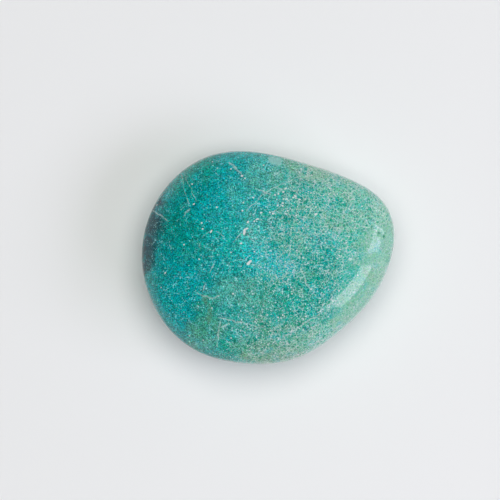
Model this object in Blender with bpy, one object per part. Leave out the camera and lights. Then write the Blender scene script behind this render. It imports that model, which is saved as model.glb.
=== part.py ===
# A tumbled pebble of chrysocolla: one stone, rounded and polished all over, with a small
# flat spot worn on its underside, where it rests.
#
# The stone lies broad side up. +X runs along its length, from the round end to the blunt
# corner, +Z is up, and the origin is under its middle, on the surface that it rests on.

import math

import bmesh
import bpy
import numpy as np

MM = 0.001

# Driving dimensions
CROWN_HEIGHT = 6.3 * MM
KEEL_DEPTH = 5.9 * MM
SPOT_WORN_OFF = 0.14 * MM

# The outline from above: heading in degrees, distance from the stone's middle
OUTLINE = (
    (0, 14.68 * MM),
    (14, 15.45 * MM),
    (26, 15.26 * MM),
    (40, 13.93 * MM),
    (62, 12.32 * MM),
    (90, 12.45 * MM),
    (125, 14.36 * MM),
    (160, 15.03 * MM),
    (195, 14.88 * MM),
    (230, 14.05 * MM),
    (262, 12.84 * MM),
    (288, 12.45 * MM),
    (312, 12.24 * MM),
    (338, 13.28 * MM),
)

# How square the shoulder is, from 2 for an ellipse up towards a box: least at the round end
LEAST_SQUARE = 2.45
MOST_SQUARE = 3.9
SQUAREST_HEADING = -15.0
KEEL_SQUARE = 2.25

# The widest contour isn't level: it leans, and it twists like a crisp
GIRTH_LEAN = 2.2
GIRTH_LEAN_HEADING = 150.0
GIRTH_TWIST = 3.0
GIRTH_TWIST_HEADING = 35.0

# Flats left from the rough piece, worn to soft facets: heading, lift, depth worn off
FLATS = (
    (168, 54, 0.34 * MM),
    (98, 58, 0.40 * MM),
    (236, 56, 0.36 * MM),
    (15, -50, 0.55 * MM),
    (112, -56, 0.50 * MM),
    (196, -52, 0.38 * MM),
    (282, -58, 0.45 * MM),
)
FLAT_BLEND = 1.5 * MM

# Shallow hollows that the tumbling didn't reach down to: heading, lift, width, depth
HOLLOWS = (
    (205, 50, 5.0 * MM, 0.22 * MM),
    (60, 52, 4.2 * MM, 0.16 * MM),
    (140, -12, 4.0 * MM, 0.25 * MM),
    (250, -8, 3.4 * MM, 0.20 * MM),
    (55, -38, 4.4 * MM, 0.24 * MM),
    (165, -40, 4.2 * MM, 0.24 * MM),
    (235, -36, 3.8 * MM, 0.18 * MM),
)

# Small chips and pits in the crown: X, Y, width, depth
PITS = (
    (13.20 * MM, 2.75 * MM, 0.50 * MM, 0.12 * MM),
    (-2.70 * MM, 3.10 * MM, 0.42 * MM, 0.12 * MM),
    (-2.25 * MM, -0.55 * MM, 0.40 * MM, 0.10 * MM),
)

# The mesh: faces along one side of the starting cube, and how many pit widths each round of
# finer faces reaches
CUBE_FACES = 23
PIT_ROUNDS = (3.4, 2.6, 1.9)
MESH_FLATNESS = 0.45
SLIVER = 0.05 * MM

STONE_COLOR = (0.115, 0.400, 0.350, 1.0)
STONE_ROUGHNESS = 0.18


def closed_curve(headings, distances):
    """A smooth closed curve through the given points, as distance for any heading."""
    knots = np.radians(headings)
    count = len(knots)
    gaps = (np.roll(knots, -1) - knots) % math.tau
    rises = (np.roll(distances, -1) - distances) / gaps
    system = np.zeros((count, count))
    for i in range(count):
        before = i - 1
        system[i, before] = gaps[before] / 6
        system[i, i] = (gaps[before] + gaps[i]) / 3
        system[i, (i + 1) % count] = gaps[i] / 6
    bends = np.linalg.solve(system, rises - np.roll(rises, 1))

    def distance_at(angle):
        angle = angle % math.tau
        start = np.searchsorted(knots, angle, side="right") - 1
        end = (start + 1) % count
        gap = gaps[start]
        along = (angle - knots[start]) / gap
        back = 1 - along
        line = back * distances[start] + along * distances[end]
        bow = (back**3 - back) * bends[start] + (along**3 - along) * bends[end]
        return line + bow * gap**2 / 6

    return distance_at


def pointing(heading, lift):
    """The unit vector at a heading in the XY plane and a lift above it, in degrees."""
    heading = math.radians(heading)
    lift = math.radians(lift)
    flat = math.cos(lift)
    return np.array((flat * math.cos(heading), flat * math.sin(heading), math.sin(lift)))


outline_at = closed_curve([row[0] for row in OUTLINE], np.array([row[1] for row in OUTLINE]))


def girth_slope(angle, flat):
    """The rise of the widest contour, for each metre out from the middle."""
    lean = math.tan(math.radians(GIRTH_LEAN))
    twist = math.tan(math.radians(GIRTH_TWIST))
    leaning = lean * np.cos(angle - math.radians(GIRTH_LEAN_HEADING))
    twisting = twist * np.cos(2 * (angle - math.radians(GIRTH_TWIST_HEADING)))
    return (leaning + twisting) * flat**2


def blank_distance(ways):
    """How far the rounded blank reaches from its middle, along each unit vector."""
    angle = np.arctan2(ways[:, 1], ways[:, 0])
    flat = np.hypot(ways[:, 0], ways[:, 1])
    turn = 0.5 + 0.5 * np.cos(angle - math.radians(SQUAREST_HEADING))
    shoulder = LEAST_SQUARE + (MOST_SQUARE - LEAST_SQUARE) * turn
    rise = ways[:, 2] - girth_slope(angle, flat) * flat
    square = np.where(rise > 0, shoulder, KEEL_SQUARE)
    height = np.where(rise > 0, CROWN_HEIGHT, KEEL_DEPTH)
    across = (flat / outline_at(angle)) ** square
    upright = (np.abs(rise) / height) ** square
    return (across + upright) ** (-1 / square)


def facet_distances():
    """How far from the middle each flat lies: the blank's reach that way, less its wear."""
    ball = np.random.default_rng(1).normal(size=(40000, 3))
    ball /= np.linalg.norm(ball, axis=1)[:, None]
    points = ball * blank_distance(ball)[:, None]
    return [(points @ pointing(heading, lift)).max() - worn for heading, lift, worn in FLATS]


facets = facet_distances()


def worn_distance(ways):
    """The blank with its flats and hollows worn in."""
    stone = blank_distance(ways)
    for (heading, lift, _), distance in zip(FLATS, facets):
        facing = np.maximum(ways @ pointing(heading, lift), 0.01)
        flat = distance / facing
        overlap = np.maximum(FLAT_BLEND - np.abs(stone - flat), 0) / FLAT_BLEND
        stone = np.minimum(stone, flat) - overlap**2 * FLAT_BLEND / 4
    points = ways * stone[:, None]
    for heading, lift, width, depth in HOLLOWS:
        way = pointing(heading, lift)
        centre = way * blank_distance(way[None, :])[0]
        gap = np.linalg.norm(points - centre, axis=1)
        stone = stone - depth * np.exp(-((gap / width) ** 2))
    return stone


def pitted_distance(ways):
    """The worn stone with the chips and pits in its crown."""
    stone = worn_distance(ways)
    points = ways * stone[:, None]
    for x, y, width, depth in PITS:
        gap = np.hypot(points[:, 0] - x, points[:, 1] - y)
        pit = depth * np.exp(-((gap / width) ** 3))
        stone = stone - np.where(ways[:, 2] > 0, pit, 0)
    return stone


def settle(bm, distance):
    """Move every vertex along its own line from the middle, out to the stone's surface."""
    ways = np.array([vert.co.normalized() for vert in bm.verts])
    points = ways * distance(ways)[:, None]
    for vert, point in zip(bm.verts, points):
        vert.co = point


def refine_pits(bm, widths):
    """Cut the faces finer within so many widths of each pit."""
    near = set()
    for x, y, width, depth in PITS:
        for edge in bm.edges:
            middle = (edge.verts[0].co + edge.verts[1].co) / 2
            gap = math.hypot(middle.x - x, middle.y - y)
            if middle.z > 0 and gap < widths * width:
                near.add(edge)
    bmesh.ops.subdivide_edges(bm, edges=list(near), cuts=1, use_grid_fill=True)


def rounded_cube(bm):
    """A cube of even faces blown up to a ball, then pressed flat as the stone is."""
    bmesh.ops.create_cube(bm, size=2)
    bmesh.ops.subdivide_edges(bm, edges=bm.edges[:], cuts=CUBE_FACES - 1, use_grid_fill=True)
    for vert in bm.verts:
        for axis in range(3):
            vert.co[axis] = math.tan(vert.co[axis] * math.pi / 4)
        vert.co.normalize()
        vert.co.z *= MESH_FLATNESS


def wear_spot(bm):
    """Wear the underside flat and bring that flat to z = 0."""
    lowest = min(vert.co.z for vert in bm.verts)
    floor = lowest + SPOT_WORN_OFF
    everything = bm.verts[:] + bm.edges[:] + bm.faces[:]
    bmesh.ops.bisect_plane(
        bm, geom=everything, plane_co=(0, 0, floor), plane_no=(0, 0, 1), clear_inner=True
    )
    rim = [edge for edge in bm.edges if edge.is_boundary]
    bmesh.ops.remove_doubles(bm, verts=list({v for e in rim for v in e.verts}), dist=SLIVER)
    rim = [edge for edge in bm.edges if edge.is_boundary]
    bmesh.ops.contextual_create(bm, geom=rim)
    bmesh.ops.translate(bm, verts=bm.verts[:], vec=(0, 0, -floor))


def centre_over_origin(bm):
    """Bring the middle of the stone's length and width over the origin."""
    low = [min(vert.co[axis] for vert in bm.verts) for axis in range(2)]
    high = [max(vert.co[axis] for vert in bm.verts) for axis in range(2)]
    shift = [-(low[axis] + high[axis]) / 2 for axis in range(2)]
    bmesh.ops.translate(bm, verts=bm.verts[:], vec=(shift[0], shift[1], 0))


def stone_material():
    material = bpy.data.materials.new("polished_chrysocolla")
    material.use_nodes = True
    shader = material.node_tree.nodes["Principled BSDF"]
    shader.inputs["Base Color"].default_value = STONE_COLOR
    shader.inputs["Roughness"].default_value = STONE_ROUGHNESS
    shader.inputs["Metallic"].default_value = 0.0
    material.diffuse_color = STONE_COLOR
    return material


def build_stone():
    bm = bmesh.new()
    rounded_cube(bm)
    settle(bm, worn_distance)
    for widths in PIT_ROUNDS:
        refine_pits(bm, widths)
        settle(bm, worn_distance)
    settle(bm, pitted_distance)
    bmesh.ops.triangulate(bm, faces=bm.faces[:])
    wear_spot(bm)
    centre_over_origin(bm)
    bmesh.ops.recalc_face_normals(bm, faces=bm.faces[:])
    mesh = bpy.data.meshes.new("chrysocolla_stone")
    bm.to_mesh(mesh)
    bm.free()
    mesh.shade_smooth()
    stone = bpy.data.objects.new("chrysocolla_stone", mesh)
    bpy.context.scene.collection.objects.link(stone)
    stone.data.materials.append(stone_material())
    return stone


for old in list(bpy.data.objects):
    bpy.data.objects.remove(old, do_unlink=True)

build_stone()
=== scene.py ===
import math

import bmesh
import bpy
import numpy as np
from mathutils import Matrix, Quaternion, Vector, noise


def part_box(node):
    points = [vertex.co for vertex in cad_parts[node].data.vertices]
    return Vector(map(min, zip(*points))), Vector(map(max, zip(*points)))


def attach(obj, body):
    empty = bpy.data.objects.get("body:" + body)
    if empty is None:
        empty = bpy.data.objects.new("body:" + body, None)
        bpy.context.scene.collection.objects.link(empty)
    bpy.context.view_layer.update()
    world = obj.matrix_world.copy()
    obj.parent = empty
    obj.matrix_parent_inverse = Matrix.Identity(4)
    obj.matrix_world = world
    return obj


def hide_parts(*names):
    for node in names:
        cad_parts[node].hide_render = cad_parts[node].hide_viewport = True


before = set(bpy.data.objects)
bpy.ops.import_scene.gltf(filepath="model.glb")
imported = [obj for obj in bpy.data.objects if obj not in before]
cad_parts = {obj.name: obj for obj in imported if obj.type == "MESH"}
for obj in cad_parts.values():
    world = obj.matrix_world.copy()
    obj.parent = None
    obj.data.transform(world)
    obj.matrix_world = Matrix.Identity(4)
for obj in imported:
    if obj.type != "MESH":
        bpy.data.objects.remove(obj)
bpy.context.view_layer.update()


# The stone's form
# One pebble of chrysocolla, ground round by long tumbling: nearly circular at its left end,
# with a straight top side, a blunt corner at the upper right and a straight lower right side.
# It lies on a small flat spot worn on its underside.

MM = 0.001
CROWN_HEIGHT = 6.3 * MM
KEEL_DEPTH = 5.9 * MM
SPOT_WORN_OFF = 0.14 * MM

# The outline from above: heading in degrees, distance from the stone's middle
OUTLINE = (
    (0, 14.68 * MM),
    (14, 15.45 * MM),
    (26, 15.26 * MM),
    (40, 13.93 * MM),
    (62, 12.32 * MM),
    (90, 12.45 * MM),
    (125, 14.36 * MM),
    (160, 15.03 * MM),
    (195, 14.88 * MM),
    (230, 14.05 * MM),
    (262, 12.84 * MM),
    (288, 12.45 * MM),
    (312, 12.24 * MM),
    (338, 13.28 * MM),
)

# How square the shoulder is, from 2 for an ellipse up towards a box: least at the round end
LEAST_SQUARE = 2.45
MOST_SQUARE = 3.9
SQUAREST_HEADING = -15.0
KEEL_SQUARE = 2.25

# The widest contour isn't level: it leans, and it twists like a crisp
GIRTH_LEAN = 2.2
GIRTH_LEAN_HEADING = 150.0
GIRTH_TWIST = 3.0
GIRTH_TWIST_HEADING = 35.0

# Flats left from the rough piece, worn to soft facets: heading, lift, depth worn off
FLATS = (
    (168, 54, 0.34 * MM),
    (98, 58, 0.40 * MM),
    (236, 56, 0.36 * MM),
    (15, -50, 0.55 * MM),
    (112, -56, 0.50 * MM),
    (196, -52, 0.38 * MM),
    (282, -58, 0.45 * MM),
)
FLAT_BLEND = 1.5 * MM

# Shallow hollows that the tumbling didn't reach down to: heading, lift, width, depth
HOLLOWS = (
    (205, 50, 5.0 * MM, 0.22 * MM),
    (60, 52, 4.2 * MM, 0.16 * MM),
    (140, -12, 4.0 * MM, 0.25 * MM),
    (250, -8, 3.4 * MM, 0.20 * MM),
    (55, -38, 4.4 * MM, 0.24 * MM),
    (165, -40, 4.2 * MM, 0.24 * MM),
    (235, -36, 3.8 * MM, 0.18 * MM),
)

FACES_ACROSS = 128
MESH_FLATNESS = 0.45


def closed_curve(headings, distances):
    """A smooth closed curve through the given points, as distance for any heading."""
    knots = np.radians(headings)
    count = len(knots)
    gaps = (np.roll(knots, -1) - knots) % math.tau
    rises = (np.roll(distances, -1) - distances) / gaps
    system = np.zeros((count, count))
    for i in range(count):
        before = i - 1
        system[i, before] = gaps[before] / 6
        system[i, i] = (gaps[before] + gaps[i]) / 3
        system[i, (i + 1) % count] = gaps[i] / 6
    bends = np.linalg.solve(system, rises - np.roll(rises, 1))

    def distance_at(angle):
        angle = angle % math.tau
        start = np.searchsorted(knots, angle, side="right") - 1
        end = (start + 1) % count
        gap = gaps[start]
        along = (angle - knots[start]) / gap
        back = 1 - along
        line = back * distances[start] + along * distances[end]
        bow = (back**3 - back) * bends[start] + (along**3 - along) * bends[end]
        return line + bow * gap**2 / 6

    return distance_at


def pointing(heading, lift):
    """The unit vector at a heading in the XY plane and a lift above it, in degrees."""
    heading = math.radians(heading)
    lift = math.radians(lift)
    flat = math.cos(lift)
    return np.array((flat * math.cos(heading), flat * math.sin(heading), math.sin(lift)))


outline_at = closed_curve([row[0] for row in OUTLINE], np.array([row[1] for row in OUTLINE]))


def girth_slope(angle, flat):
    """The rise of the widest contour, for each metre out from the middle."""
    lean = math.tan(math.radians(GIRTH_LEAN))
    twist = math.tan(math.radians(GIRTH_TWIST))
    leaning = lean * np.cos(angle - math.radians(GIRTH_LEAN_HEADING))
    twisting = twist * np.cos(2 * (angle - math.radians(GIRTH_TWIST_HEADING)))
    return (leaning + twisting) * flat**2


def blank_distance(ways):
    """How far the rounded blank reaches from its middle, along each unit vector."""
    angle = np.arctan2(ways[:, 1], ways[:, 0])
    flat = np.hypot(ways[:, 0], ways[:, 1])
    turn = 0.5 + 0.5 * np.cos(angle - math.radians(SQUAREST_HEADING))
    shoulder = LEAST_SQUARE + (MOST_SQUARE - LEAST_SQUARE) * turn
    rise = ways[:, 2] - girth_slope(angle, flat) * flat
    square = np.where(rise > 0, shoulder, KEEL_SQUARE)
    height = np.where(rise > 0, CROWN_HEIGHT, KEEL_DEPTH)
    across = (flat / outline_at(angle)) ** square
    upright = (np.abs(rise) / height) ** square
    return (across + upright) ** (-1 / square)


def facet_distances():
    """How far from the middle each flat lies: the blank's reach that way, less its wear."""
    ball = np.random.default_rng(1).normal(size=(40000, 3))
    ball /= np.linalg.norm(ball, axis=1)[:, None]
    points = ball * blank_distance(ball)[:, None]
    return [(points @ pointing(heading, lift)).max() - worn for heading, lift, worn in FLATS]


facets = facet_distances()


def worn_distance(ways):
    """The blank with its flats and hollows worn in."""
    stone = blank_distance(ways)
    for (heading, lift, _), distance in zip(FLATS, facets):
        facing = np.maximum(ways @ pointing(heading, lift), 0.01)
        flat = distance / facing
        overlap = np.maximum(FLAT_BLEND - np.abs(stone - flat), 0) / FLAT_BLEND
        stone = np.minimum(stone, flat) - overlap**2 * FLAT_BLEND / 4
    points = ways * stone[:, None]
    for heading, lift, width, depth in HOLLOWS:
        way = pointing(heading, lift)
        centre = way * blank_distance(way[None, :])[0]
        gap = np.linalg.norm(points - centre, axis=1)
        stone = stone - depth * np.exp(-((gap / width) ** 2))
    return stone


def rounded_cube():
    """A cube of even faces blown up to a ball, then pressed flat as the stone is."""
    bm = bmesh.new()
    bmesh.ops.create_cube(bm, size=2)
    bmesh.ops.subdivide_edges(bm, edges=bm.edges[:], cuts=FACES_ACROSS - 1, use_grid_fill=True)
    bmesh.ops.recalc_face_normals(bm, faces=bm.faces[:])
    mesh = bpy.data.meshes.new("chrysocolla_pebble")
    bm.to_mesh(mesh)
    bm.free()
    points = read_points(mesh)
    points = np.tan(points * math.pi / 4)
    points /= np.linalg.norm(points, axis=1)[:, None]
    points[:, 2] *= MESH_FLATNESS
    return mesh, points / np.linalg.norm(points, axis=1)[:, None]


def read_points(mesh):
    points = np.zeros(len(mesh.vertices) * 3, np.float32)
    mesh.vertices.foreach_get("co", points)
    return points.reshape(-1, 3).astype(float)


def write_points(mesh, points):
    mesh.vertices.foreach_set("co", points.astype(np.float32).ravel())
    mesh.update()


def read_normals(mesh):
    normals = np.zeros(len(mesh.vertices) * 3, np.float32)
    mesh.vertex_normals.foreach_get("vector", normals)
    return normals.reshape(-1, 3).astype(float)


pebble_mesh, ways = rounded_cube()
stone_points = ways * worn_distance(ways)[:, None]
write_points(pebble_mesh, stone_points)


# The stone's skin
# Tumbling leaves the polished skin slightly wavy, with small pits where grains broke out and
# one chip on the right shoulder. They are in the mesh, so the highlights break at them.

WAVES = (
    (4.5 * MM, 0.012 * MM),
    (1.7 * MM, 0.003 * MM),
)
CHIP = ((13.05 * MM, 2.88 * MM, 0.34 * MM, 0.10 * MM), (13.60 * MM, 2.42 * MM, 0.30 * MM, 0.09 * MM))
BIG_PITS = (
    (-2.70 * MM, 3.15 * MM, 0.36 * MM, 0.07 * MM),
    (-2.25 * MM, -0.55 * MM, 0.32 * MM, 0.06 * MM),
)
SMALL_PITS = 70
SMALL_PIT_WIDTH = (0.14 * MM, 0.28 * MM)
SMALL_PIT_DEPTH = 0.16


def dent(points, centre, width, depth):
    """How deep a round pit is at each point."""
    gap = np.linalg.norm(points - centre, axis=1)
    return depth * np.exp(-((gap / width) ** 3))


def on_crown(x, y):
    """The point of the crown at X and Y."""
    gap = np.hypot(stone_points[:, 0] - x, stone_points[:, 1] - y)
    return stone_points[np.where(stone_points[:, 2] > 0, gap, 1).argmin()]


normals = read_normals(pebble_mesh)
lift = np.zeros(len(stone_points))
for wave_length, wave_height in WAVES:
    lift += wave_height * np.array([noise.noise(Vector(p / wave_length)) for p in stone_points])
for x, y, width, depth in CHIP + BIG_PITS:
    lift -= dent(stone_points, on_crown(x, y), width, depth)
pit_dice = np.random.default_rng(7)
for row in pit_dice.choice(len(stone_points), SMALL_PITS, replace=False):
    width = pit_dice.uniform(*SMALL_PIT_WIDTH)
    lift -= dent(stone_points, stone_points[row], width, width * SMALL_PIT_DEPTH)
stone_points += normals * lift[:, None]

# The spot on the underside is ground flat, and the stone set where the frame has it
floor_height = stone_points[:, 2].min() + SPOT_WORN_OFF
stone_points[:, 2] = np.maximum(stone_points[:, 2], floor_height) - floor_height
middle = (stone_points[:, :2].min(axis=0) + stone_points[:, :2].max(axis=0)) / 2
node_low, node_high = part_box("chrysocolla_stone")
stone_points[:, 0] += (node_low.x + node_high.x) / 2 - middle[0]
stone_points[:, 1] += (node_low.y + node_high.y) / 2 - middle[1]
stone_points[:, 2] += node_low.z
write_points(pebble_mesh, stone_points)
pebble_mesh.shade_smooth()
pebble = bpy.data.objects.new("chrysocolla_pebble", pebble_mesh)
bpy.context.scene.collection.objects.link(pebble)


# The stone's colour
# Chrysocolla is copper silicate that filled the rock in films and tiny round growths: teal and
# blue at the left, paler green at the right, netted all over with pale walls between the growths.


class Wire:
    """A shader socket that sums are written with; node() adds any other node."""

    tree = None

    def __init__(self, socket):
        self.socket = socket

    @classmethod
    def node(cls, kind, settings=None, values=None, output=0):
        made = cls.tree.nodes.new("ShaderNode" + kind)
        for name, setting in (settings or {}).items():
            setattr(made, name, setting)
        for name, value in (values or {}).items():
            if isinstance(value, cls):
                cls.tree.links.new(value.socket, made.inputs[name])
            else:
                made.inputs[name].default_value = value
        return cls(made.outputs[output])

    def sibling(self, output):
        """Another output of the same node."""
        return Wire(self.socket.node.outputs[output])

    @classmethod
    def maths(cls, operation, first, second=0.0):
        return cls.node("Math", {"operation": operation}, {0: first, 1: second})

    def __add__(self, other):
        return self.maths("ADD", self, other)

    def __sub__(self, other):
        return self.maths("SUBTRACT", self, other)

    def __rsub__(self, other):
        return self.maths("SUBTRACT", other, self)

    def __mul__(self, other):
        return self.maths("MULTIPLY", self, other)

    def __truediv__(self, other):
        return self.maths("DIVIDE", self, other)

    def __abs__(self):
        return self.maths("ABSOLUTE", self)

    __radd__ = __add__
    __rmul__ = __mul__


def ease(value, start, end, low=0.0, high=1.0):
    """A smooth step from low to high as value goes from start to end."""
    settings = {"interpolation_type": "SMOOTHSTEP"}
    values = {"Value": value, "From Min": start, "From Max": end, "To Min": low, "To Max": high}
    if start > end:
        values.update({"From Min": end, "From Max": start, "To Min": high, "To Max": low})
    return Wire.node("MapRange", settings, values)


def clouds(place, size, detail=2.0, output=0):
    """Soft noise with features of a size in millimetres, about 0.5 on average."""
    values = {"Vector": place, "Scale": 1 / size, "Detail": detail, "Roughness": 0.55}
    return Wire.node("TexNoise", {}, values, output)


def stirred(place, size, reach):
    """The place pushed about by noise of a size, by up to about a reach, in millimetres."""
    push = Wire.node("VectorMath", {"operation": "SUBTRACT"}, {0: clouds(place, size, 2.0, 1), 1: (0.5, 0.5, 0.5)})
    return Wire.node("VectorMath", {"operation": "MULTIPLY_ADD"}, {0: push, 1: (2 * reach,) * 3, 2: place})


def cells(place, size, feature, output):
    settings = {"feature": feature}
    return Wire.node("TexVoronoi", settings, {"Vector": place, "Scale": 1 / size}, output)


def mixed(below, above, mask):
    values = {"Factor": mask, 6: below, 7: above}
    return Wire.node("Mix", {"data_type": "RGBA"}, values, 2)


def seen_from_above(place):
    return Wire.node("VectorMath", {"operation": "MULTIPLY"}, {0: place, 1: (1, 1, 0)})


def away(place, x, y):
    return Wire.node("VectorMath", {"operation": "DISTANCE"}, {0: place, 1: (x, y, 0)}, "Value")


def blot(place, x, y, length, width, heading, soft=0.45):
    """A mask that is 1 inside an ellipse and soft at its edge, from the ways to its two foci."""
    inner = width / 2 * (1 - soft)
    outer = width / 2 * (1 + soft)
    if length < 1.25 * width:
        return ease(away(place, x, y), outer, inner)
    focus = math.sqrt(length**2 - width**2) / 2
    step_x = focus * math.cos(math.radians(heading))
    step_y = focus * math.sin(math.radians(heading))
    ways = away(place, x + step_x, y + step_y) + away(place, x - step_x, y - step_y)
    return ease(ways, 2 * math.hypot(focus, outer), 2 * math.hypot(focus, inner))


# The copper silicate's own colours, and the whitish silica that its growths are walled with; the navy at the left end
# also carries painted shade, and the pale rim at the right painted light and sheen
TEAL = (0.001, 0.250, 0.248, 1)
BLUE = (0.001, 0.286, 0.288, 1)
GREEN = (0.001, 0.242, 0.200, 1)
CYAN = (0.005, 0.398, 0.402, 1)
SAGE = (0.016, 0.400, 0.300, 1)
MINT = (0.004, 0.305, 0.234, 1)
OLIVE = (0.022, 0.264, 0.178, 1)
TAN = (0.150, 0.356, 0.224, 1)
NAVY_AND_PAINTED_SHADE = (0.003, 0.046, 0.064, 1)
PALE = (0.195, 0.460, 0.322, 1)
PALE_RIM_AND_PAINTED_LIGHT = (0.300, 0.560, 0.440, 1)
PINK_WALL = (0.630, 0.660, 0.700, 1)
GREEN_WALL = (0.530, 0.720, 0.620, 1)
BLUE_WALL = (0.360, 0.820, 0.860, 1)

stone_finish = bpy.data.materials.new("polished_chrysocolla")
stone_finish.use_nodes = True
Wire.tree = stone_finish.node_tree
shader = Wire.tree.nodes["Principled BSDF"]

place = Wire.node("TexCoord", {}, {}, "Object")
place = Wire.node("VectorMath", {"operation": "SCALE"}, {0: place, "Scale": 1 / MM})
area_place = seen_from_above(stirred(place, 3.0, 1.0))
across = Wire.node("VectorMath", {"operation": "DOT_PRODUCT"}, {0: area_place, 1: (1.0, -0.25, 0.0)}, "Value")
height = Wire.node("SeparateXYZ", {}, {0: place}, "Z")
crown = ease(height, 2.5, 5.5)

# Areas on the crown: colour, X, Y, length, width, heading, strength
AREAS = (
    (BLUE, -7.0, 5.3, 4.6, 2.8, 10, 0.5),
    (BLUE, -9.6, 0.0, 6.5, 2.8, 80, 0.7),
    (BLUE, -11.0, -4.0, 5.5, 4.0, 55, 0.5),
    (BLUE, -11.4, -6.8, 3.4, 2.4, 120, 0.4),
    (GREEN, -11.0, 4.2, 4.0, 3.8, 90, 0.8),
    (GREEN, -8.6, 9.6, 6.0, 3.4, 50, 0.9),
    (TEAL, -8.0, 7.6, 3.5, 2.5, 0, 0.6),
    (GREEN, -8.6, 1.8, 5.0, 3.6, 20, 0.6),
    (CYAN, -12.2, -5.2, 5.5, 3.0, 115, 0.15),
    (CYAN, -4.6, 7.0, 9.0, 3.6, 100, 0.35),
    (PALE, -3.4, 7.2, 4.6, 2.8, 90, 0.1),
    (CYAN, -5.0, 2.2, 5.5, 4.5, 0, 0.2),
    (MINT, -5.0, 2.2, 5.5, 4.5, 0, 0.3),
    (CYAN, -0.6, 11.2, 9.0, 2.6, -8, 0.4),
    (CYAN, -0.9, 7.6, 5.0, 4.0, 0, 0.25),
    (CYAN, 0.2, -0.8, 6.2, 3.6, -25, 0.9),
    (CYAN, -1.8, 2.2, 3.4, 3.4, 0, 0.6),
    (PALE, -1.8, 3.0, 3.6, 3.2, 0, 0.22),
    (CYAN, 6.2, 2.4, 4.4, 2.2, 0, 0.3),
    (MINT, 1.6, 1.2, 2.2, 1.8, 0, 0.7),
    (TAN, -4.2, -3.8, 5.4, 3.0, 10, 0.25),
    (TAN, -7.6, -9.0, 4.6, 3.0, 30, 0.4),
    (PALE, -6.0, -9.8, 5.0, 2.6, -15, 0.15),
    (TAN, -2.6, -8.2, 6.0, 3.4, 0, 0.15),
    (OLIVE, 1.6, -7.4, 6.6, 3.6, 0, 0.8),
    (OLIVE, -7.2, -6.8, 5.2, 2.4, 90, 0.6),
    (MINT, -4.6, -10.2, 3.2, 2.2, 110, 0.8),
    (TAN, -3.0, -10.2, 2.6, 2.2, 0, 0.35),
    (TAN, 0.6, -11.6, 7.0, 2.8, 0, 0.9),
    (OLIVE, 0.2, -10.6, 6.0, 2.4, 0, 0.5),
    (TAN, 4.4, -9.6, 3.8, 2.4, 30, 0.5),
    (TAN, 4.7, -7.2, 2.6, 2.2, 0, 0.2),
    (MINT, 2.4, -4.8, 6.4, 4.6, -10, 0.9),
    (MINT, 5.2, -3.8, 9.4, 3.6, 72, 0.9),
    (MINT, 4.2, -0.6, 3.2, 2.6, 0, 0.5),
    (TAN, -1.2, -4.8, 3.6, 2.6, 0, 0.15),
    (MINT, 6.4, -5.4, 2.8, 2.2, 0, 0.9),
    (OLIVE, 0.0, -4.0, 4.4, 3.4, 0, 0.35),
    (TAN, 9.0, 4.2, 4.0, 3.0, 0, 0.3),
    (TAN, 4.4, 10.8, 5.4, 2.4, -18, 0.6),
    (PALE, 6.6, 9.4, 7.0, 2.4, -28, 0.5),
    (PALE, 11.0, 7.2, 5.4, 3.2, -50, 0.4),
    (PALE, 0.4, 9.6, 6.0, 4.0, -10, 0.3),
    (PALE, 13.6, 2.8, 12.0, 3.6, 82, 0.8),
    (PALE, 12.4, 1.5, 3.4, 2.6, 0, 0.5),
    (PALE, 10.6, -4.9, 10.5, 2.8, 54, 0.8),
    (PALE, 5.8, -8.2, 3.2, 2.2, 30, 0.25),
)

# The right is paler, but for a richer belt across its lower side
rich = Wire.maths("MAXIMUM", blot(area_place, 5.4, -3.2, 11.0, 4.4, 75, 0.7), blot(area_place, 2.2, -5.0, 5.0, 3.6, 0, 0.7))
right = ease(across, -9.0, 9.0) * (1 - rich * 0.45)
ground = mixed(TEAL, SAGE, right)
for color, x, y, length, width, heading, strength in AREAS:
    ground = mixed(ground, color, crown * strength * blot(area_place, x, y, length, width, heading, 0.7))

# A dark navy film wraps the left end, over the edge and a little way under: partly the stone's own colour, partly
# painted shade on the side turned away from the light
dark_end_and_shade_place = stirred(place, 2.2, 1.3)
dark_end_and_shade = Wire.node("VectorMath", {"operation": "DISTANCE"}, {0: dark_end_and_shade_place, 1: (-12.9, 7.4, 8.3)}, "Value")
dark_tip_and_shade = Wire.node("VectorMath", {"operation": "DISTANCE"}, {0: dark_end_and_shade_place, 1: (-14.5, -2.2, 7.7)}, "Value")
ground = mixed(ground, NAVY_AND_PAINTED_SHADE, ease(dark_end_and_shade + dark_tip_and_shade, 10.85, 9.85, 0.0, 0.95))

hue_drift = clouds(place, 1.5, 3.0)
ground = mixed(ground, CYAN, ease(hue_drift, 0.48, 0.34, 0.0, 0.40))
ground = mixed(ground, TAN, ease(hue_drift, 0.51, 0.66, 0.0, 0.45) * ease(right, 0.0, 1.0, 0.15, 1.0))
# A paler rim on the right side's shoulder: partly the stone's paler colour there, partly painted light and painted
# sheen on the side that faces the window
ground = mixed(ground, PALE_RIM_AND_PAINTED_LIGHT, ease(height, 9.8, 6.4) * ease(height, 1.5, 5.5, 0.2, 1.0) * ease(across, 3.0, 11.0, 0.0, 0.85))

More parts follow.
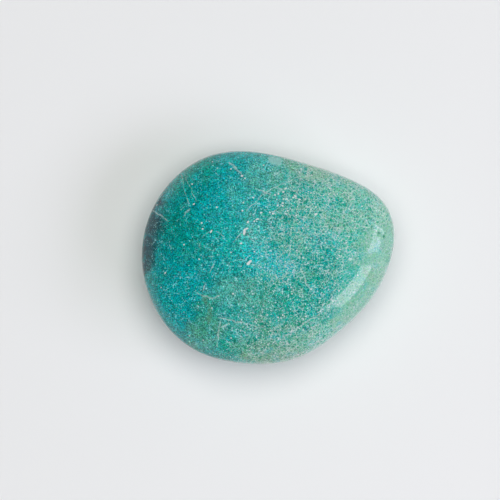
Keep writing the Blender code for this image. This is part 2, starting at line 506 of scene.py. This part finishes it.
# The growths are purer and darker at their middles, and all is cloudy down to the finest grain
calm = blot(area_place, 11.2, -2.0, 14.0, 3.8, 62, 0.8)
net_place = stirred(place, 0.8, 0.16)
growths = cells(net_place, 0.36, "F1", "Distance")
growth_dice = Wire.node("SeparateColor", {}, {0: growths.sibling("Color")})
middles = ease(growths, 0.52, 0.22) * ease(growth_dice, 0.30, 0.55) * (1 - calm * 0.6)
pools = cells(net_place, 0.75, "F1", "Distance")
pool_dice = Wire.node("SeparateColor", {}, {0: pools.sibling("Color")})
pooled = ease(pools, 0.34, 0.24) * ease(pool_dice, 0.58, 0.66) * (1 - calm) * ease(height, 3.0, 6.0, 0.3, 1.0)
middles = Wire.maths("MAXIMUM", middles * ease(right, 0.0, 1.0, 0.20, 0.85), pooled * ease(right, 0.0, 0.6, 0.30, 0.75))
pure = Wire.node("VectorMath", {"operation": "MULTIPLY"}, {0: ground, 1: (0.04, 0.74, 0.70)})
ground = mixed(ground, pure, middles)
grain = clouds(place, 0.14, 1.0) - 0.5
blotches = clouds(place, 0.50, 2.0) - 0.5
lively = ease(right, 0.0, 0.9, 1.75, 0.85) * (1 - calm * 0.5)
tone = 1.05 + (grain * 2.6 + blotches * 0.8) * lively
tint = ease(clouds(place, 0.16, 1.0), 0.40, 0.60)
tint = mixed((1.0, 1.06, 0.84, 1), (1.1, 0.94, 1.15, 1), tint)
ground = Wire.node("VectorMath", {"operation": "MULTIPLY"}, {0: ground, 1: tint})
ground = Wire.node("VectorMath", {"operation": "SCALE"}, {0: ground, "Scale": Wire.maths("MAXIMUM", tone, 0.46)})

# The walls between them show as fine whitish lines, curls and dots
walls = ease(cells(net_place, 0.36, "DISTANCE_TO_EDGE", "Distance"), 0.13, 0.03)
curls = ease(abs(clouds(net_place, 0.60, 1.0) - 0.5), 0.020, 0.006)
dot_cells = cells(place, 0.34, "F1", "Distance")
dot_dice = Wire.node("SeparateColor", {}, {0: dot_cells.sibling("Color")})
dots = ease(dot_cells, 0.25, 0.17) * ease(dot_dice, 0.30, 0.65)
pallor = ease(clouds(place, 0.13, 1.0), 0.55, 0.62)
lined = ease(clouds(place, 0.9, 2.0), 0.36, 0.62, 0.35, 1.0)
hair_place = stirred(place, 1.4, 0.5)
hairs = ease(cells(hair_place, 3.2, "DISTANCE_TO_EDGE", "Distance"), 0.020, 0.008)
hairs = Wire.maths("MAXIMUM", hairs, ease(cells(hair_place, 1.7, "DISTANCE_TO_EDGE", "Distance"), 0.034, 0.014) * 0.8)
wall_amount = dots * 1.35 + (walls * 0.7 + curls * 0.8) * lined + pallor * 0.70
hair_amount = ease(clouds(place, 1.1, 1.0), 0.42, 0.58, 0.0, 0.75) * ease(right, 0.2, 0.9, 1.0, 0.45)
wall_amount = wall_amount * (1 - middles * 0.75) + hairs * hair_amount
quiet = blot(area_place, -9.2, 5.0, 13.0, 4.8, 80, 0.8)
sparse = ease(right, 0.0, 0.9, 0.80, 0.12) + quiet * 0.3
wall_amount = Wire.maths("MAXIMUM", wall_amount - sparse, 0.0) * ease(right, 0.0, 0.5, 0.54, 0.73) * (1 - calm * 0.3)
wall_amount = wall_amount * ease(height, 3.0, 9.0, 0.6, 1.0) * ease(across, 8.0, 13.0, 1.0, 0.75)
wall_color = mixed(PINK_WALL, GREEN_WALL, ease(clouds(place, 0.26, 1.0), 0.44, 0.60))
wall_color = mixed(BLUE_WALL, wall_color, ease(right, 0.0, 0.7))
stone_color = mixed(ground, wall_color, wall_amount)


# The stone's flecks and cracks
# White grains of quartz dot the crown, thickest behind its middle. Old cracks have healed in a
# pale line, and iron has stained the stone brown along a few of them.

WHITE = (0.620, 0.680, 0.660, 1)
STAIN = (0.150, 0.230, 0.120, 1)
DEEP_GREEN = (0.010, 0.230, 0.125, 1)
# The colour of a painted highlight near the top edge
TOP_PAINTED_HIGHLIGHT = (0.330, 0.600, 0.560, 1)


def blots(place, rows, soft=0.35):
    """One mask for many small blots on the crown: X, Y, length, width, heading."""
    mask = 0.0
    for x, y, length, width, heading in rows:
        mask = Wire.maths("MAXIMUM", blot(place, x, y, length, width, heading, soft), mask)
    return crown * mask


def streaks(place, rows, soft=0.6):
    """One mask for many thin lines: X, Y of the start, X, Y of the end, width."""
    blot_rows = []
    for x0, y0, x1, y1, width in rows:
        length = math.hypot(x1 - x0, y1 - y0) * 1.15
        heading = math.degrees(math.atan2(y1 - y0, x1 - x0))
        blot_rows.append(((x0 + x1) / 2, (y0 + y1) / 2, length, width, heading))
    return blots(place, blot_rows, soft)


CRACKS = (
    (-10.34, 10.10, -9.90, 8.20, 0.06),
    (-9.95, 8.30, -9.35, 6.16, 0.07),
    (-9.92, 9.86, -8.49, 6.63, 0.06),
    (-4.54, 11.17, -2.99, 9.62, 0.24),
    (-13.86, 5.80, -11.83, 4.36, 0.14),
    (-10.04, 4.84, -9.20, 5.68, 0.15),
    (-6.33, -0.42, -6.87, -1.69, 0.11),
    (-7.41, -3.05, -7.72, -4.06, 0.11),
    (-8.37, -4.12, -6.87, -4.72, 0.14),
    (-6.87, -4.72, -5.62, -4.48, 0.14),
    (-5.69, -7.47, -5.98, -10.40, 0.18),
    (-5.50, -8.19, -4.59, -7.71, 0.18),
    (-5.86, -6.99, -4.30, -7.35, 0.18),
    (-4.30, -7.35, -0.96, -8.13, 0.17),
    (1.67, -9.38, 3.59, -8.07, 0.17),
    (3.50, -8.12, 6.20, -6.50, 0.16),
    (4.90, -10.34, 6.93, -9.50, 0.17),
    (7.89, -8.37, 9.20, -7.54, 0.15),
    (4.18, -2.21, 4.66, -3.53, 0.14),
    (-3.95, 1.85, -3.20, 3.05, 0.12),
    (-2.50, 2.70, -1.67, 1.85, 0.12),
    (-1.90, -0.78, -0.70, -1.14, 0.12),
    (-2.50, 5.56, -0.72, 7.35, 0.12),
    (-0.72, 7.35, 0.48, 8.07, 0.12),
    (0.48, 8.07, 2.03, 8.80, 0.12),
    (2.03, 8.80, 3.50, 9.50, 0.12),
    (2.50, 8.30, 3.80, 7.20, 0.12),
    (-1.43, 8.07, 0.24, 7.35, 0.12),
)
FLECKS = (
    (-2.79, 3.05, 0.74, 0.30, 80),
    (-2.54, 3.38, 0.44, 0.18, 20),
    (-2.39, 4.18, 0.34, 0.17, 55),
    (-2.32, -0.66, 0.50, 0.34, 30),
    (-2.12, -0.46, 0.40, 0.24, 60),
    (-3.20, 1.67, 0.28, 0.18, 10),
    (-8.73, 6.30, 0.30, 0.18, 45),
    (-8.96, 8.67, 0.18, 0.18, 0),
    (-7.82, 4.06, 0.18, 0.18, 0),
    (-6.69, 3.05, 0.36, 0.17, 55),
    (-3.05, 5.50, 0.22, 0.22, 0),
    (-2.93, 6.45, 0.17, 0.17, 0),
    (-1.73, 7.05, 0.22, 0.20, 0),
    (-3.10, 9.60, 0.26, 0.20, 30),
    (1.73, 7.71, 0.26, 0.26, 0),
    (1.20, 7.47, 0.24, 0.20, 0),
    (0.78, 7.35, 0.22, 0.20, 0),
    (1.67, 6.40, 0.24, 0.18, 0),
    (1.80, 6.87, 0.20, 0.18, 0),
    (1.08, 6.10, 0.22, 0.20, 0),
    (0.54, 5.14, 0.22, 0.22, 0),
    (0.18, 5.26, 0.22, 0.18, 0),
    (-0.84, 5.26, 0.26, 0.20, 20),
    (-1.30, 4.50, 0.34, 0.20, 10),
    (3.10, 7.23, 0.40, 0.18, -45),
    (2.90, 7.02, 0.20, 0.18, 0),
    (3.65, 6.80, 0.24, 0.18, 0),
    (2.03, 8.10, 0.32, 0.16, 50),
    (5.56, 5.08, 0.40, 0.22, 30),
    (-4.12, -4.18, 0.18, 0.18, 0),
    (-8.07, -0.18, 0.20, 0.18, 0),
    (-12.11, -1.78, 0.26, 0.18, 60),
)
RINGS = ((-6.69, 1.73, 0.84), (-6.50, 1.60, 1.50))
STAINS = ((3.92, 5.92, 0.50, 0.40, 0), (-7.40, -4.90, 1.20, 0.50, -60), (-6.90, -6.60, 2.40, 0.50, 85))
DARK_DOTS = (
    (0.60, 1.49, 0.26, 0.24, 0),
    (13.03, 2.90, 0.38, 0.28, -20),
    (13.60, 2.42, 0.46, 0.26, -55),
)

bent_place = seen_from_above(stirred(place, 0.8, 0.30))
torn_place = seen_from_above(stirred(place, 0.28, 0.09))
cracks = streaks(bent_place, CRACKS)
for x, y, radius in RINGS:
    ring = ease(abs(away(bent_place, x, y) - radius), 0.10, 0.03) * ease(clouds(place, 0.9, 1.0), 0.45, 0.55, 0.0, 0.6)
    cracks = Wire.maths("MAXIMUM", cracks, ring)
stone_color = mixed(stone_color, STAIN, blots(bent_place, STAINS, 0.8) * 0.3)
# A painted highlight: a pale patch near the top edge stands in for a soft reflection of light there
stone_color = mixed(stone_color, TOP_PAINTED_HIGHLIGHT, blots(bent_place, [(0.80, 11.45, 1.70, 0.95, -15)], 0.3) * 0.6)
stone_color = mixed(stone_color, WHITE, cracks * ease(clouds(place, 0.35, 1.0), 0.35, 0.55, 0.10, 0.45))

# Small flecks by chance: few all over, many behind the crown's middle
crowd = crown * blot(area_place, 2.6, 6.2, 6.0, 5.0, 0, 0.6)
chance = cells(place, 0.55, "F1", "Distance")
fleck_dice = Wire.node("SeparateColor", {}, {0: chance.sibling("Color")})
chosen = ease(fleck_dice - crowd * 0.25, 0.08, 0.05)
small_flecks = ease(chance, 0.22, 0.14) * chosen
flecks = Wire.maths("MAXIMUM", blots(torn_place, FLECKS, 0.3), small_flecks)
stone_color = mixed(stone_color, WHITE, flecks)
stone_color = mixed(stone_color, DEEP_GREEN, blots(torn_place, DARK_DOTS, 0.4) * 0.85)

Wire.tree.links.new(stone_color.socket, shader.inputs["Base Color"])


# The stone's polish
# The tumbler's last barrel leaves a wet-looking gloss, broken by the finest grain.

GLOSS = 0.06
VEIN_ROUGHNESS = 0.80
VEIN = ((9.60, 0.15, 12.00, -0.25, 1.30), (11.60, -0.15, 14.20, -0.30, 1.40))
grain_height = clouds(place, 0.35, 2.0)
bump = Wire.node("Bump", {}, {"Strength": 0.04, "Distance": 0.02 * MM, "Height": grain_height})
Wire.tree.links.new(bump.socket, shader.inputs["Normal"])
roughness = ease(streaks(bent_place, VEIN), 0.1, 0.7, GLOSS, VEIN_ROUGHNESS)
Wire.tree.links.new(roughness.socket, shader.inputs["Roughness"])
shader.inputs["IOR"].default_value = 1.5
pebble_mesh.materials.append(stone_finish)
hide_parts("chrysocolla_stone")
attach(pebble, "root")


# The floor
# A plain pale sheet, wider than any view of the stone reaches.

FLOOR_SIZE = 3.0
FLOOR_COLOR = (0.80, 0.81, 0.79, 1)

floor_mesh = bpy.data.meshes.new("floor")
half = FLOOR_SIZE / 2
corners = [(-half, -half, 0), (half, -half, 0), (half, half, 0), (-half, half, 0)]
floor_mesh.from_pydata(corners, [], [(0, 1, 2, 3)])
floor = bpy.data.objects.new("floor", floor_mesh)
bpy.context.scene.collection.objects.link(floor)
floor_finish = bpy.data.materials.new("pale_floor")
floor_finish.use_nodes = True
floor_shader = floor_finish.node_tree.nodes["Principled BSDF"]
floor_shader.inputs["Base Color"].default_value = FLOOR_COLOR
floor_shader.inputs["Roughness"].default_value = 0.9
floor_shader.inputs["Specular IOR Level"].default_value = 0.1
floor_mesh.materials.append(floor_finish)


# The light
# A wide low window to the right, a soft light overhead and a dim room that is palest low down.

def window(name, heading, lift, distance, width, height, power, roll=0.0, color=(1, 1, 1)):
    """A rectangular light that faces the stone from a heading and a lift, in degrees."""
    lamp = bpy.data.lights.new(name, "AREA")
    lamp.shape = "RECTANGLE"
    lamp.size = width
    lamp.size_y = height
    lamp.energy = power
    lamp.color = color
    light = bpy.data.objects.new(name, lamp)
    way = Vector(pointing(heading, lift))
    light.location = way * distance
    light.rotation_mode = "QUATERNION"
    light.rotation_quaternion = way.to_track_quat("Z", "Y") @ Quaternion((0, 0, 1), math.radians(roll))
    light.visible_camera = False
    bpy.context.scene.collection.objects.link(light)


window("window", -22, 38, 0.60, 0.50, 0.235, 1.45, -8, (0.98, 0.94, 1.14))

daylight = bpy.data.lights.new("daylight", "SUN")
daylight.energy = 2.43
daylight.angle = math.radians(51)
sky = bpy.data.objects.new("daylight", daylight)
sky.rotation_mode = "QUATERNION"
sky.rotation_quaternion = Vector(pointing(75, 82)).to_track_quat("Z", "Y")
sky.visible_glossy = False
bpy.context.scene.collection.objects.link(sky)

world = bpy.data.worlds.new("dim_room")
world.use_nodes = True
bpy.context.scene.world = world
Wire.tree = world.node_tree
up = Wire.node("SeparateXYZ", {}, {0: Wire.node("TexCoord", {}, {}, "Generated")}, "Z")
pale_low = ease(up, 0.05, 0.50, 0.30, 0.015) + ease(up, 0.07, 0.13, 0.50, 0.0)
background = Wire.tree.nodes["Background"]
background.inputs["Color"].default_value = (0.92, 0.97, 1.0, 1)
Wire.tree.links.new(pale_low.socket, background.inputs["Strength"])


# The camera
# It looks straight down, a little to the left of the stone's middle.

VIEW_X = -2.15 * MM
VIEW_Y = 0.90 * MM
VIEW_WIDTH = 59.8 * MM
LENS = 150.0
SENSOR = 36.0
GIRTH_LEVEL = 5.8 * MM

camera_data = bpy.data.cameras.new("camera")
camera_data.lens = LENS
camera_data.sensor_width = SENSOR
camera = bpy.data.objects.new("camera", camera_data)
camera.location = (VIEW_X, VIEW_Y, GIRTH_LEVEL + VIEW_WIDTH * LENS / SENSOR)
camera_data.clip_start = 0.01
camera_data.clip_end = 5.0
bpy.context.scene.collection.objects.link(camera)
bpy.context.scene.camera = camera
bpy.context.scene.view_settings.view_transform = "Standard"
